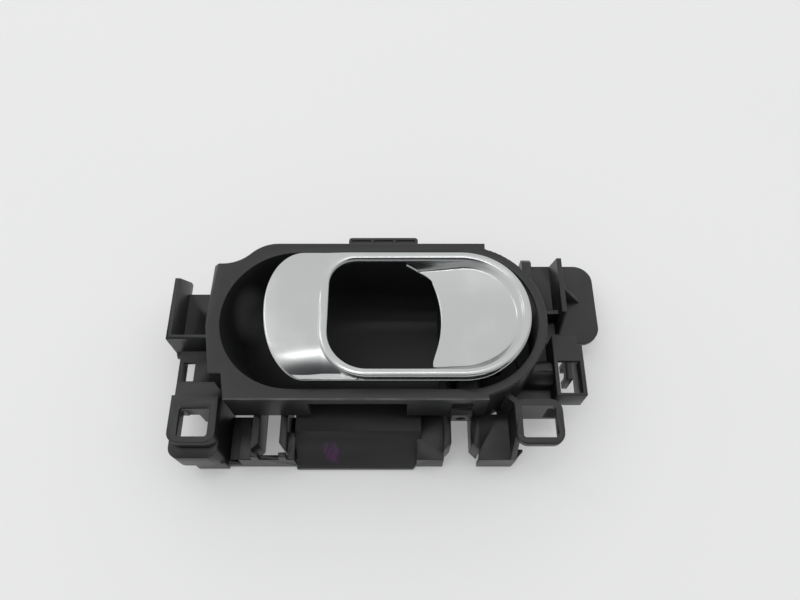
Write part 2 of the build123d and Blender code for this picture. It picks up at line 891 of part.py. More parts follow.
with BuildPart() as lever:
    with BuildSketch(Plane.XY.offset(lever_under)) as outline:
        with BuildLine():
            north_x = lever_nose_x + nose_north_length
            south_x = lever_nose_x + nose_south_length
            north_width = lever_half_width - lever_nose_y
            south_width = lever_half_width + lever_nose_y
            Line((lever_end_x, lever_half_width), (north_x, lever_half_width))
            EllipticalCenterArc((north_x, lever_nose_y), nose_north_length, north_width, 90, arc_size=90)
            EllipticalCenterArc((south_x, lever_nose_y), nose_south_length, south_width, 180, arc_size=90)
            Line((south_x, -lever_half_width), (lever_end_x, -lever_half_width))
            ThreePointArc(
                (lever_end_x, -lever_half_width),
                (lever_right_x, 0),
                (lever_end_x, lever_half_width),
            )
        make_face()
    extrude(amount=2 * (lever_deck - lever_under))
    with BuildSketch(Plane.XZ) as section:
        with BuildLine():
            middle_x = (lever_nose_x + ring_left_x) / 2
            middle_z = (paddle_edge_z + lever_deck) / 2 + paddle_crown
            Polyline(
                (lever_nose_x, paddle_edge_z),
                (lever_nose_x, lever_under),
                (lever_right_x, lever_under),
                (lever_right_x, lever_deck),
                (ring_left_x, lever_deck),
            )
            ThreePointArc((ring_left_x, lever_deck), (middle_x, middle_z), (lever_nose_x, paddle_edge_z))
        make_face()
    extrude(amount=lever_half_width, both=True, mode=Mode.INTERSECT)
    rim = lever.edges().filter_by(lambda edge: edge.center().Z > paddle_edge_z - lever_edge_round / 2)
    fillet(rim.filter_by(Axis.Y, reverse=True), lever_edge_round)
    with BuildSketch(Plane.YZ.offset(lever_nose_x)) as roll:
        with BuildLine():
            crown_z = lever_deck + paddle_crown
            lip_z = lever_under + paddle_lip
            Polyline(
                (paddle_roll_y, crown_z),
                (lever_half_width, crown_z),
                (lever_half_width, lever_under),
                (-lever_half_width, lever_under),
                (-lever_half_width, lip_z),
            )
            TangentArc((paddle_roll_y, crown_z), (-lever_half_width, lip_z), tangent=(-1, 0))
        make_face()
    extrude(amount=lever_right_x - lever_nose_x, mode=Mode.INTERSECT)
    finger_hole = ring_sketch(lever_under, -bead_radius)
    extrude(finger_hole, amount=2 * (lever_deck - lever_under), mode=Mode.SUBTRACT)
    with BuildSketch(Plane((lever_end_x, ring_line, bead_z), z_dir=(-1, 0, 0))) as bead:
        Circle(bead_radius)
    with BuildLine(Plane.XY.offset(bead_z)) as bead_path:
        ring_wire(0)
    sweep(bead.sketch, path=bead_path.wire())
    add(dish.part)
    front_plate(
        (-knuckle_outer_y, knuckle_outer_y),
        [
            (arm_bar_left, arm_seat_z),
            (arm_bar_left, dish_top(arm_bar_left) - dish_thickness / 2),
            (arm_bar_right, dish_top(arm_bar_right) - dish_thickness / 2),
            (arm_bar_right, arm_seat_z),
        ],
    )
    with Locations((screw_x, screw_y, arm_seat_z), (screw_x, -screw_y, arm_seat_z)):
        Cylinder(screw_radius + seat_clearance, screw_grip, align=upward, mode=Mode.SUBTRACT)

lever.part.label = "lever"
export_step(lever.part, "parts/lever.step")

# Black arm behind the lever: knuckles on the pin, crossbar under the dish, arm for the cable
with BuildPart() as lever_arm:
    slab(
        (arm_bar_left, arm_bar_right),
        (-knuckle_outer_y, knuckle_outer_y),
        (arm_bar_bottom, arm_seat_z),
        arm_corner,
    )
    for y_range in ((-knuckle_outer_y, -knuckle_inner_y), (knuckle_inner_y, knuckle_outer_y)):
        slab((pivot_x, arm_bar_left + arm_corner), y_range, (arm_bar_bottom, arm_seat_z))
        with BuildSketch(Plane.XZ.offset(-y_range[1])) as knuckle:
            with Locations((pivot_x, pivot_z)):
                Circle(knuckle_radius)
        extrude(knuckle.sketch, amount=y_range[1] - y_range[0])
    arm_face = Plane(
        (pivot_x, cable_y + cable_arm_width / 2, pivot_z),
        x_dir=(sin(radians(cable_arm_lean)), 0, -cos(radians(cable_arm_lean))),
        z_dir=(0, -1, 0),
    )
    with BuildSketch(arm_face) as limb:
        with Locations((cable_arm_reach / 2, 0)):
            SlotCenterToCenter(cable_arm_reach, 2 * cable_arm_radius)
    extrude(limb.sketch, amount=cable_arm_width)
    with BuildSketch(arm_face) as nipple_seat:
        with Locations((cable_arm_reach, 0)):
            Circle(nipple_radius)
    extrude(nipple_seat.sketch, amount=cable_arm_width - cable_slot_width / 2, mode=Mode.SUBTRACT)
    with BuildSketch(arm_face.offset(cable_arm_width / 2)) as cable_slot:
        with Locations((cable_arm_reach, 0)):
            Rectangle(2 * cable_arm_radius, 2 * cable_arm_radius, align=(Align.CENTER, Align.MIN))
    extrude(cable_slot.sketch, amount=cable_slot_width / 2, both=True, mode=Mode.SUBTRACT)
    with BuildSketch(Plane.XZ.offset(-knuckle_outer_y)) as bore:
        with Locations((pivot_x, pivot_z)):
            Circle(pin_radius + running_clearance)
    extrude(bore.sketch, amount=2 * knuckle_outer_y, mode=Mode.SUBTRACT)
    with Locations((screw_x, screw_y, arm_bar_bottom), (screw_x, -screw_y, arm_bar_bottom)):
        Cylinder(screw_radius + running_clearance, arm_bar_height, align=upward, mode=Mode.SUBTRACT)

lever_arm.part.label = "lever_arm"
export_step(lever_arm.part, "parts/lever_arm.step")

with BuildPart() as arm_screws:
    with Locations((screw_x, screw_y, arm_bar_bottom), (screw_x, -screw_y, arm_bar_bottom)):
        Cylinder(screw_head_radius, screw_head_height, align=downward)
        Cylinder(screw_radius, arm_bar_height + screw_grip - seat_clearance, align=upward)
    head_z = arm_bar_bottom - screw_head_height
    with Locations((screw_x, screw_y, head_z), (screw_x, -screw_y, head_z)):
        Box(2 * screw_radius, screw_recess, 2 * screw_recess, mode=Mode.SUBTRACT)
        Box(screw_recess, 2 * screw_radius, 2 * screw_recess, mode=Mode.SUBTRACT)

arm_screws.part.label = "arm_screws"
export_step(arm_screws.part, "parts/arm_screws.step")


def disc(radius, y_range, mode=Mode.ADD):
    with BuildSketch(Plane.XZ.offset(-y_range[1])) as section:
        with Locations((pivot_x, pivot_z)):
            Circle(radius)
    extrude(section.sketch, amount=y_range[1] - y_range[0], mode=mode)


with BuildPart() as hinge_pin:
    disc(pin_radius, (pin_south_y, pin_north_y))
    chamfer(hinge_pin.edges(), pin_chamfer)
    groove = (clip_y - clip_width / 2, clip_y + clip_width / 2)
    disc(pin_radius, groove, Mode.SUBTRACT)
    disc(pin_radius - groove_depth, groove)

hinge_pin.part.label = "hinge_pin"
export_step(hinge_pin.part, "parts/hinge_pin.step")

with BuildPart() as pin_clip:
    clip_range = (clip_y - clip_width / 2 + seat_clearance, clip_y + clip_width / 2 - seat_clearance)
    disc(clip_radius, clip_range)
    disc(pin_radius - groove_depth + seat_clearance, clip_range, Mode.SUBTRACT)
    slab(
        (pivot_x - pin_radius / 2, pivot_x + pin_radius / 2),
        clip_range,
        (pivot_z - clip_radius, pivot_z),
        mode=Mode.SUBTRACT,
    )

pin_clip.part.label = "pin_clip"
export_step(pin_clip.part, "parts/pin_clip.step")

# Torsion spring on the pin, one leg under the crossbar, the other in the cup's end wall
with BuildPart() as return_spring:
    coil_plane = Plane((pivot_x, -coil_length / 2, pivot_z), x_dir=(0, 0, -1), z_dir=(0, 1, 0))
    coil = coil_plane * Helix(coil_length / coil_turns, coil_length, coil_radius, mode=Mode.PRIVATE)
    with BuildLine() as wire:
        Line(coil @ 0 - (coil % 0) * spring_leg_right, coil @ 0)
        add(coil)
        Line(coil @ 1, coil @ 1 + (coil % 1) * spring_leg_left)
    path = wire.wire()
    with BuildSketch(Plane(path @ 0, z_dir=path % 0)) as section:
        Circle(wire_radius)
    sweep(section.sketch, path=path)

return_spring.part.label = "return_spring"
export_step(return_spring.part, "parts/return_spring.step")

# Rubber pads: two the lever comes home on, one that ends its travel
with BuildPart() as rest_buffers:
    for y in (-pad_y, pad_y):
        slab(
            (divider_left_x + pad_margin, divider_right_x - pad_margin),
            (y - pad_length / 2, y + pad_length / 2),
            (divider_top, dish_under(divider_left_x) - pad_gap),
        )

rest_buffers.part.label = "rest_buffers"
export_step(rest_buffers.part, "parts/rest_buffers.step")

with BuildPart() as stop_buffer:
    stop_z = pivot_z - cable_arm_reach + stop_pad_height / 2
    slab(
        (divider_right_x, pivot_x - cable_arm_radius - pad_gap),
        (cable_y - cable_arm_width / 2, cable_y + cable_arm_width / 2),
        (stop_z, stop_z + stop_pad_height),
    )

stop_buffer.part.label = "stop_buffer"
export_step(stop_buffer.part, "parts/stop_buffer.step")
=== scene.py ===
import math

import bmesh
import bpy
import numpy as np
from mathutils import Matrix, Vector
from mathutils.bvhtree import BVHTree


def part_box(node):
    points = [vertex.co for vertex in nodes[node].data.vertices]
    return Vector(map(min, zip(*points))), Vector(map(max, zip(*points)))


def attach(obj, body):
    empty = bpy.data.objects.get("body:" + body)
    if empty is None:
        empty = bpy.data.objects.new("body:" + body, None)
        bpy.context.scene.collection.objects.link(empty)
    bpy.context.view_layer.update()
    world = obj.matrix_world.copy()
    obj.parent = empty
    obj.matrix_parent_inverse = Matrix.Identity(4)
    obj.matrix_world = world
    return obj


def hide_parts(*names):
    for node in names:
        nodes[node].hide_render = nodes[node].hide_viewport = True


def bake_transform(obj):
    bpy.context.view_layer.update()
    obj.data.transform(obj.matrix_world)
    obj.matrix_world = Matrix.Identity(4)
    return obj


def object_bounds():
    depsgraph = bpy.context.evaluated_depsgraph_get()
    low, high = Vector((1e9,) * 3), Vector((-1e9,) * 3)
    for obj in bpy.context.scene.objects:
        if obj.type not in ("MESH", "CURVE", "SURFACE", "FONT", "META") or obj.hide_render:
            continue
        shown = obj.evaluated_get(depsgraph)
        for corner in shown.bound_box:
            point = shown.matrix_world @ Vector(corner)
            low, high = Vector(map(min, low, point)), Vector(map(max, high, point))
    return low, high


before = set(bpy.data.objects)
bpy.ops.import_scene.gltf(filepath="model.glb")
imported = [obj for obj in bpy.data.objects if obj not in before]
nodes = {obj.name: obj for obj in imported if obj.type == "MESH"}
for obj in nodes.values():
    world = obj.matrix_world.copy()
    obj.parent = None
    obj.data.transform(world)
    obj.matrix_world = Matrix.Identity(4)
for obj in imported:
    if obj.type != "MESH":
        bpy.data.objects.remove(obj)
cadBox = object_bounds()
mm = 0.001
print("frame loaded with", len(nodes), "nodes")


# A socket that takes part in plain Python sums
class Wire:
    def __init__(self, tree, socket=None):
        self.tree = tree
        self.socket = socket

    def feed(self, target, value):
        if isinstance(value, Wire):
            self.tree.links.new(value.socket, target)
        else:
            target.default_value = value

    def node(self, kind, settings=None, values=None, output=0):
        made = self.tree.nodes.new(kind)
        for key, value in (settings or {}).items():
            setattr(made, key, value)
        for key, value in (values or {}).items():
            self.feed(made.inputs[key], value)
        return Wire(self.tree, made.outputs[output])

    def maths(self, operation, *values):
        return self.node("ShaderNodeMath", {"operation": operation}, dict(enumerate(values)))

    def __add__(self, other):
        return self.maths("ADD", self, other)

    def __sub__(self, other):
        return self.maths("SUBTRACT", self, other)

    def __rsub__(self, other):
        return self.maths("SUBTRACT", other, self)

    def __mul__(self, other):
        return self.maths("MULTIPLY", self, other)

    def __truediv__(self, other):
        return self.maths("DIVIDE", self, other)

    __radd__ = __add__


def newMaterial(name, constants):
    material = bpy.data.materials.new(name)
    material.use_nodes = True
    shader = material.node_tree.nodes["Principled BSDF"]
    for key, value in constants.items():
        shader.inputs[key].default_value = value
    wire = Wire(material.node_tree)
    place = wire.node("ShaderNodeTexCoord", output="Object")
    return material, wire, shader.inputs, place


def noise(place, scale, detail=2.0, roughness=0.5):
    values = {"Vector": place, "Scale": scale, "Detail": detail, "Roughness": roughness}
    return place.node("ShaderNodeTexNoise", None, values, "Fac")


def fade(value, low, high):
    settings = {"interpolation_type": "SMOOTHSTEP"}
    values = {"Value": value, "From Min": low, "From Max": high}
    return value.node("ShaderNodeMapRange", settings, values)


def blendColour(factor, first, second):
    # the Mix node's sockets for colours go by number, as its names come several times
    factorIn, firstIn, secondIn, colourOut = 0, 6, 7, 2
    values = {factorIn: factor, firstIn: first, secondIn: second}
    return factor.node("ShaderNodeMix", {"data_type": "RGBA"}, values, colourOut)


def axes(place):
    return [place.node("ShaderNodeSeparateXYZ", None, {0: place}, axis) for axis in "XYZ"]


def bump(height, strength, distance):
    values = {"Strength": strength, "Distance": distance, "Height": height}
    return height.node("ShaderNodeBump", None, values)


def moved(place, offset, turn, scale):
    values = {"Vector": place, "Location": offset, "Rotation": turn, "Scale": scale}
    return place.node("ShaderNodeMapping", {"vector_type": "TEXTURE"}, values)


def streaks(place, turn, size, detail=2.0):
    # noise drawn out along one direction
    return noise(moved(place, (0.0, 0.0, 0.0), turn, size), 1.0, detail)


def swing(cloud, amount):
    # noise as a rise and fall about nothing
    return (cloud - 0.5) * amount


def distanceFrom(place, centre, turn, size):
    # squared distance from a centre, counted in sizes
    x, y, z = axes(moved(place, centre, (0.0, 0.0, turn), size))
    return x * x + y * y + z * z


def putOn(obj, material):
    obj.data.materials.clear()
    obj.data.materials.append(material)


# Grained black moulding, with a faint ink smudge on the shelf
mouldingLook = {
    "black": (0.0125, 0.0128, 0.0135, 1.0),
    "dust": (0.040, 0.040, 0.040, 1.0),
    "ink": (0.075, 0.012, 0.085, 1.0),
    "roughness": 0.38,
    "grainScale": 2300.0,
    "grainStrength": 0.55,
    "grainDepth": 0.05 * mm,
    "cloudScale": 38.0,
    "cloudDull": 0.10,
    "dustRange": (0.50, 0.80),
    "dustShare": 0.22,
    "scuffTurn": (0.3, 0.2, 0.9),
    "scuffSize": (12.0 * mm, 0.6 * mm, 6.0 * mm),
    "scuffRange": (0.66, 0.74),
    "scuffShare": 0.5,
    "scuffDust": 0.25,
    "scuffDull": 0.08,
    "inkPlace": (-17.6 * mm, -40.6 * mm, 7.0 * mm),
    "inkSize": (3.2 * mm, 4.4 * mm, 9.0 * mm),
    "inkTurn": 0.35,
    "inkRange": (0.35, 0.95),
    "inkShare": 0.8,
    "frayScale": 420.0,
    "fray": 1.3,
    "strokeTurn": (0.0, 0.0, -0.5),
    "strokeSize": (0.7 * mm, 5.0 * mm, 4.0 * mm),
    "strokeRange": (0.36, 0.56),
}


def makeMoulding(look):
    material, wire, shader, place = newMaterial("grainedBlackMoulding", {"IOR": 1.49})
    grain = noise(place, look["grainScale"], detail=3.0, roughness=0.6)
    cloud = noise(place, look["cloudScale"], detail=4.0, roughness=0.6)
    scuff = streaks(place, look["scuffTurn"], look["scuffSize"])
    scuffed = fade(scuff, *look["scuffRange"]) * look["scuffShare"]
    dusty = fade(cloud, *look["dustRange"]) * look["dustShare"]
    spread = distanceFrom(place, look["inkPlace"], look["inkTurn"], look["inkSize"])
    spread = spread + swing(noise(place, look["frayScale"], detail=3.0), look["fray"])
    stroke = fade(streaks(place, look["strokeTurn"], look["strokeSize"]), *look["strokeRange"])
    inked = (1 - fade(spread, *look["inkRange"])) * stroke * look["inkShare"]
    colour = blendColour(dusty + scuffed * look["scuffDust"], look["black"], look["dust"])
    dull = look["roughness"] + swing(cloud, look["cloudDull"]) + scuffed * look["scuffDull"]
    wire.feed(shader["Base Color"], blendColour(inked, colour, look["ink"]))
    wire.feed(shader["Roughness"], dull)
    wire.feed(shader["Normal"], bump(grain, look["grainStrength"], look["grainDepth"]))
    return material


# The finger cup's smoother, duller black, with a painted sheen on its left wall, and the room that it
# covers
cupLook = {
    "black": (0.018, 0.0185, 0.019, 1.0),
    "worn": (0.023, 0.023, 0.0235, 1.0),
    # painted sheen: a pale patch on the cup's left wall, standing in for the reflection that wall
    # catches
    "rubbedToneAndSheen": (0.15, 0.15, 0.155, 1.0),
    "roughness": 0.42,
    "shine": 0.24,
    "cloudScale": 60.0,
    "cloudDull": 0.08,
    "wornRange": (0.4, 0.8),
    # place, size and turn of the painted sheen
    "sheenPlace": (-47.0 * mm, 7.0 * mm, 20.0 * mm),
    "sheenSize": (9.0 * mm, 13.0 * mm, 16.0 * mm),
    "sheenTurn": 0.2,
    "sheenLeast": 0.5,
    "hairTurn": (0.4, 0.3, 0.2),
    "hairSize": (9.0 * mm, 0.4 * mm, 4.0 * mm),
    "hairRange": (0.68, 0.76),
    "hairDull": 0.06,
    "grainScale": 2600.0,
    "grainStrength": 0.25,
    "grainDepth": 0.02 * mm,
    "halfLength": 29.9 * mm,
    "radius": 26.25 * mm,
    "rim": 35.4 * mm,
}


def makeCupBlack(look):
    constants = {"IOR": 1.49, "Specular IOR Level": look["shine"]}
    material, wire, shader, place = newMaterial("cupBlack", constants)
    cloud = noise(place, look["cloudScale"], detail=4.0, roughness=0.6)
    hair = fade(streaks(place, look["hairTurn"], look["hairSize"]), *look["hairRange"])
    # painted sheen: the base colour pales in a soft patch on the left wall, in place of a reflection
    away = distanceFrom(place, look["sheenPlace"], look["sheenTurn"], look["sheenSize"])
    rubbedToneAndSheen = (1 - fade(away, 0.0, 1.0)) * (cloud + look["sheenLeast"])
    colour = blendColour(fade(cloud, *look["wornRange"]), look["black"], look["worn"])
    dull = look["roughness"] + swing(cloud, look["cloudDull"]) + hair * look["hairDull"]
    grain = noise(place, look["grainScale"])
    wire.feed(shader["Base Color"], blendColour(rubbedToneAndSheen, colour, look["rubbedToneAndSheen"]))
    wire.feed(shader["Roughness"], dull)
    wire.feed(shader["Normal"], bump(grain, look["grainStrength"], look["grainDepth"]))
    return material


# The front bar's top edge, paler: a painted highlight standing in for the light line that this edge
# catches
edgeHighlightLook = {
    "black": (0.075, 0.077, 0.080, 1.0),
    "pale": (0.150, 0.153, 0.158, 1.0),
    "roughness": 0.28,
    "cloudScale": 90.0,
    "cloudDull": 0.08,
    "paleRange": (0.35, 0.7),
}


def makeEdgeHighlight(look):
    material, wire, shader, place = newMaterial("paintedEdgeHighlight", {"IOR": 1.49})
    cloud = noise(place, look["cloudScale"], detail=3.0)
    # pale colour: a painted highlight along the edge
    colour = blendColour(fade(cloud, *look["paleRange"]), look["black"], look["pale"])
    wire.feed(shader["Base Color"], colour)
    wire.feed(shader["Roughness"], look["roughness"] + swing(cloud, look["cloudDull"]))
    return material


# Satin silver of the pull lever
silverLook = {
    "silver": (0.475, 0.49, 0.485, 1.0),
    # paler silver in random patches
    "rubbedToneAndSheen": (0.52, 0.53, 0.525, 1.0),
    "roughness": 0.21,
    "cloudScale": 55.0,
    "cloudDull": 0.05,
    "rubbedRange": (0.45, 0.75),
    "hairTurn": (0.0, 0.1, 0.5),
    "hairSize": (10.0 * mm, 0.3 * mm, 4.0 * mm),
    "hairRange": (0.72, 0.80),
    "hairDull": 0.02,
    "frostScale": 5200.0,
    "frostStrength": 0.2,
    "frostDepth": 0.010 * mm,
}


def makeSilver(look):
    material, wire, shader, place = newMaterial("satinSilver", {"Metallic": 1.0})
    frost = noise(place, look["frostScale"])
    cloud = noise(place, look["cloudScale"], detail=3.0)
    hair = streaks(place, look["hairTurn"], look["hairSize"], detail=1.0)
    marked = fade(hair, *look["hairRange"]) * look["hairDull"]
    colour = blendColour(fade(cloud, *look["rubbedRange"]), look["silver"], look["rubbedToneAndSheen"])
    wire.feed(shader["Base Color"], colour)
    wire.feed(shader["Roughness"], look["roughness"] + swing(cloud, look["cloudDull"]) + marked)
    wire.feed(shader["Normal"], bump(frost, look["frostStrength"], look["frostDepth"]))
    return material


# Plain black moulding of the arm behind the lever
armLook = {
    "black": (0.016, 0.016, 0.017, 1.0),
    "pale": (0.034, 0.034, 0.035, 1.0),
    "roughness": 0.5,
    "flowTurn": (0.2, 0.0, 0.4),
    "flowSize": (4.0 * mm, 12.0 * mm, 3.0 * mm),
    "flowRange": (0.45, 0.75),
    "flowDull": 0.2,
    "grainScale": 1500.0,
    "grainStrength": 0.4,
    "grainDepth": 0.04 * mm,
}


def makeArmPlastic(look):
    material, wire, shader, place = newMaterial("plainBlackMoulding", {"IOR": 1.49})
    flow = streaks(place, look["flowTurn"], look["flowSize"], detail=3.0)
    grain = noise(place, look["grainScale"], detail=3.0)
    colour = blendColour(fade(flow, *look["flowRange"]), look["black"], look["pale"])
    wire.feed(shader["Base Color"], colour)
    wire.feed(shader["Roughness"], look["roughness"] + swing(flow, look["flowDull"]))
    wire.feed(shader["Normal"], bump(grain, look["grainStrength"], look["grainDepth"]))
    return material


# Zinc on the pin, its clip and the screws, and the spring's drawn wire
zincLook = {
    "bright": (0.62, 0.62, 0.61, 1.0),
    "dull": (0.42, 0.42, 0.43, 1.0),
    "roughness": 0.30,
    "lineSize": (0.3 * mm, 6.0 * mm, 0.3 * mm),
}
wireLook = {
    "bright": (0.40, 0.40, 0.41, 1.0),
    "dull": (0.22, 0.22, 0.24, 1.0),
    "roughness": 0.34,
    "lineSize": (0.2 * mm, 4.0 * mm, 0.2 * mm),
}
steelLook = {
    "stainScale": 330.0,
    "stainRange": (0.40, 0.72),
    "stainDull": 0.12,
    "lineDull": 0.22,
    "lineStrength": 0.3,
    "lineDepth": 0.02 * mm,
}


def makeSteel(name, look, both):
    material, wire, shader, place = newMaterial(name, {"Metallic": 1.0})
    stain = noise(place, both["stainScale"], detail=4.0, roughness=0.6)
    lines = streaks(place, (0.0, 0.0, 0.0), look["lineSize"])
    colour = blendColour(fade(stain, *both["stainRange"]), look["bright"], look["dull"])
    dull = look["roughness"] + swing(lines, both["lineDull"]) + swing(stain, both["stainDull"])
    wire.feed(shader["Base Color"], colour)
    wire.feed(shader["Roughness"], dull)
    wire.feed(shader["Normal"], bump(lines, both["lineStrength"], both["lineDepth"]))
    return material


# Rubber of the three pads
rubberLook = {
    "black": (0.014, 0.014, 0.014, 1.0),
    "bloom": (0.050, 0.050, 0.048, 1.0),
    "roughness": 0.78,
    "bloomScale": 260.0,
    "bloomRange": (0.50, 0.85),
    "bloomDull": 0.2,
    "grainScale": 2600.0,
    "grainStrength": 0.5,
    "grainDepth": 0.05 * mm,
}


def makeRubber(look):
    material, wire, shader, place = newMaterial("blackRubber", {"IOR": 1.52})
    bloom = noise(place, look["bloomScale"], detail=5.0, roughness=0.65)
    grain = noise(place, look["grainScale"])
    colour = blendColour(fade(bloom, *look["bloomRange"]), look["black"], look["bloom"])
    wire.feed(shader["Base Color"], colour)
    wire.feed(shader["Roughness"], look["roughness"] + swing(bloom, look["bloomDull"]))
    wire.feed(shader["Normal"], bump(grain, look["grainStrength"], look["grainDepth"]))
    return material


moulding = makeMoulding(mouldingLook)
cupBlack = makeCupBlack(cupLook)
paintedEdgeHighlight = makeEdgeHighlight(edgeHighlightLook)
silver = makeSilver(silverLook)
armPlastic = makeArmPlastic(armLook)
zinc = makeSteel("brightZinc", zincLook, steelLook)
springWire = makeSteel("drawnWire", wireLook, steelLook)
rubber = makeRubber(rubberLook)
for name, finish in {
    "lever_arm": armPlastic,
    "hinge_pin": zinc,
    "pin_clip": zinc,
    "rest_buffers": rubber,
    "stop_buffer": rubber,
}.items():
    putOn(nodes[name], finish)
print("finishes made")


def addPiece(name, mesh, material, body, slot, *stoodFor):
    obj = bpy.data.objects.new(name, mesh)
    bpy.context.scene.collection.objects.link(obj)
    putOn(obj, material)
    # a piece given no body rides on none
    if body:
        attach(obj, body)
    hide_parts(*stoodFor)
    return obj


def smoothOver(mesh, sharp):
    mesh.shade_smooth()
    mesh.set_sharp_from_angle(angle=sharp)


def bakeDown(obj, name):
    # the object gives way to a mesh with its modifiers worked in
    evaluated = obj.evaluated_get(bpy.context.evaluated_depsgraph_get())
    mesh = bpy.data.meshes.new_from_object(evaluated)
    mesh.name = name
    bpy.data.objects.remove(obj)
    return mesh


# Carrier moulding: its own solid with the small edge rounds of a moulded part
carrier = {
    "merge": 0.002 * mm,
    "round": 0.2 * mm,
    "sharp": math.radians(38),
    "steps": 2,
    "stray": 0.15 * mm,
    "cupEdge": 27.0 * mm,
    "cellFloor": 25.5 * mm,
    # boxes from low to high corner, in millimetres
    # crowded: where the bar's end, the bay's skirt and the strut leave no room for a round
    "crowded": (((32.0, -37.0), (64.0, -14.0)), ((53.0, 2.0), (62.5, 16.0))),
    "frontEdge": ((-52.0, -30.2, 35.45), (37.6, -29.4, 35.99)),
    "cells": ((-12.5, 30.2, 21.1), (14.5, 40.0, 21.3)),
    "sideWindow": ((-72.6, -40.4, 2.0), (-70.0, -27.6, 24.4)),
}


def boxObject(name, low, high):
    mesh = bpy.data.meshes.new(name)
    block = bmesh.new()
    bmesh.ops.create_cube(block, size=1.0)
    for corner in block.verts:
        share = corner.co + Vector((0.5, 0.5, 0.5))
        corner.co = Vector(a + (b - a) * s for a, b, s in zip(low, high, share)) * mm
    block.to_mesh(mesh)
    block.free()
    made = bpy.data.objects.new(name, mesh)
    bpy.context.scene.collection.objects.link(made)
    return made


def within(spot, low, high):
    return all(a <= value / mm <= b for value, a, b in zip(spot, low, high))


def fromCup(look, spot):
    return math.hypot(max(abs(spot.x) - look["halfLength"], 0.0), spot.y)


def makeCarrier(settings):
    mesh = nodes["housing"].data.copy()
    work = bmesh.new()
    work.from_mesh(mesh)
    bmesh.ops.remove_doubles(work, verts=work.verts, dist=settings["merge"])
    for corner in work.verts:
        if within(corner.co, *settings["cells"]):
            corner.co.z = settings["cellFloor"]
    weight = work.edges.layers.float.new("bevel_weight_edge")
    for edge in work.edges:
        if len(edge.link_faces) == 2 and edge.calc_face_angle() > settings["sharp"]:
            middle = (edge.verts[0].co + edge.verts[1].co) / 2
            crowded = any(within(middle.xy, low, high) for low, high in settings["crowded"])
            crowded = crowded and fromCup(cupLook, middle) > settings["cupEdge"]
            edge[weight] = 0.0 if crowded else 1.0
            edge.smooth = not crowded
    skin = BVHTree.FromBMesh(work)
    work.to_mesh(mesh)
    work.free()
    mesh.shade_smooth()
    obj = bpy.data.objects.new("carrierDraft", mesh)
    bpy.context.scene.collection.objects.link(obj)
    cutter = boxObject("sideWindow", *settings["sideWindow"])
    opener = obj.modifiers.new("sideWindow", "BOOLEAN")
    opener.operation = "DIFFERENCE"
    opener.solver = "EXACT"
    opener.object = cutter
    rounder = obj.modifiers.new("edgeRound", "BEVEL")
    rounder.width = settings["round"]
    rounder.segments = settings["steps"]
    rounder.limit_method = "WEIGHT"
    rounder.use_clamp_overlap = False
    rounder.harden_normals = True
    made = bakeDown(obj, "carrier")
    bpy.data.objects.remove(cutter)
    # a round that ran past a short edge comes back to the moulding's skin
    for corner in made.vertices:
        spot, _, _, gap = skin.find_nearest(corner.co)
        held = spot if gap > settings["stray"] else corner.co
        limits = zip(held, *cadBox)
        corner.co = Vector(min(max(value, low), high) for value, low, high in limits)
    return made


def inCup(look, spot):
    return fromCup(look, spot) < look["radius"] and spot.z < look["rim"]


carrierMesh = makeCarrier(carrier)
addPiece("carrier", carrierMesh, moulding, "housing", "black_plastic", "housing")
carrierMesh.materials.append(cupBlack)
carrierMesh.materials.append(paintedEdgeHighlight)
cupSlot, edgeHighlightSlot = 1, 2
for face in carrierMesh.polygons:
    if inCup(cupLook, face.center):
        face.material_index = cupSlot
    # faces on the front bar's top edge take the painted edge highlight
    elif within(face.center, *carrier["frontEdge"]):
        face.material_index = edgeHighlightSlot
print("carrier rounded")


# Pull lever, in millimetres: paddle and finger ring as one closed sweep, then the thumb dish
leverLow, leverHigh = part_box("lever")
leverForm = {
    "noseX": leverLow.x / mm,
    "noseY": 4.0,
    "noseNorth": 13.0,
    "noseSouth": 15.8,
    "halfWidth": leverHigh.y / mm,
    "southLip": 0.25,
    "endX": (leverHigh.x - leverHigh.y) / mm,
    "barInset": 1.85,
    "barRadius": 1.7,
    "barFlat": 0.4,
    "barSlope": 0.2,
    "barTurn": 0.5,
    "barDrop": 1.4,
    "barFall": 8.0,
    # a hair under the solid's top
    "barTop": leverHigh.z / mm - 0.08,
    "ringLeft": -19.0,
    "northCorner": 11.0,
    "southCorner": 15.5,
    "crown": 40.95,
    "swell": 0.3,
    "noseFall": 0.8,
    "northY": 15.0,
    "northFall": 0.75,
    "rollY": -11.2,
    "rollFall": 3.0,
    "lipZ": 38.6,
    "lipBlend": 0.25,
    "shoulderWidth": 5.0,
    "shoulderFall": 0.2,
    "shoulderRun": 1.2,
    "creaseY": (-3.0, 13.0),
    "crease": 0.22,
    "edgeRound": 0.5,
    "skin": 1.5,
    "edgeSkin": 0.45,
    # how far from the ring, and from the outline, the rows lie close and the underside runs
    "nearWidth": 2.4,
    "nearShare": 0.88,
    "underRing": 0.9,
    "underEdge": 0.8,
    "underLeast": 1.0,
    "underDepth": 0.6,
    # points along the path and the outline, and rows across them
    "pathCounts": (60, 72, 28, 84, 48, 120),
    "noseCount": 121,
    "endCount": 160,
    "innerArc": (270, 100, 14),
    "nearRows": 13,
    "farRows": 29,
    "underRows": 5,
    "sharp": math.radians(50),
}
# guards against lines side by side and points just past an end
tiny, slack = 1e-9, 1e-6


def arcPoints(centre, radius, start, end, count):
    angles = np.radians(np.linspace(start, end, count, endpoint=False))
    around = np.stack([np.cos(angles), np.sin(angles)], axis=1)
    return np.array(centre) + radius * around, around


def linePoints(start, end, normal, count):
    along = np.linspace(0.0, 1.0, count, endpoint=False)[:, None]
    return np.array(start) * (1 - along) + np.array(end) * along, np.tile(normal, (count, 1))


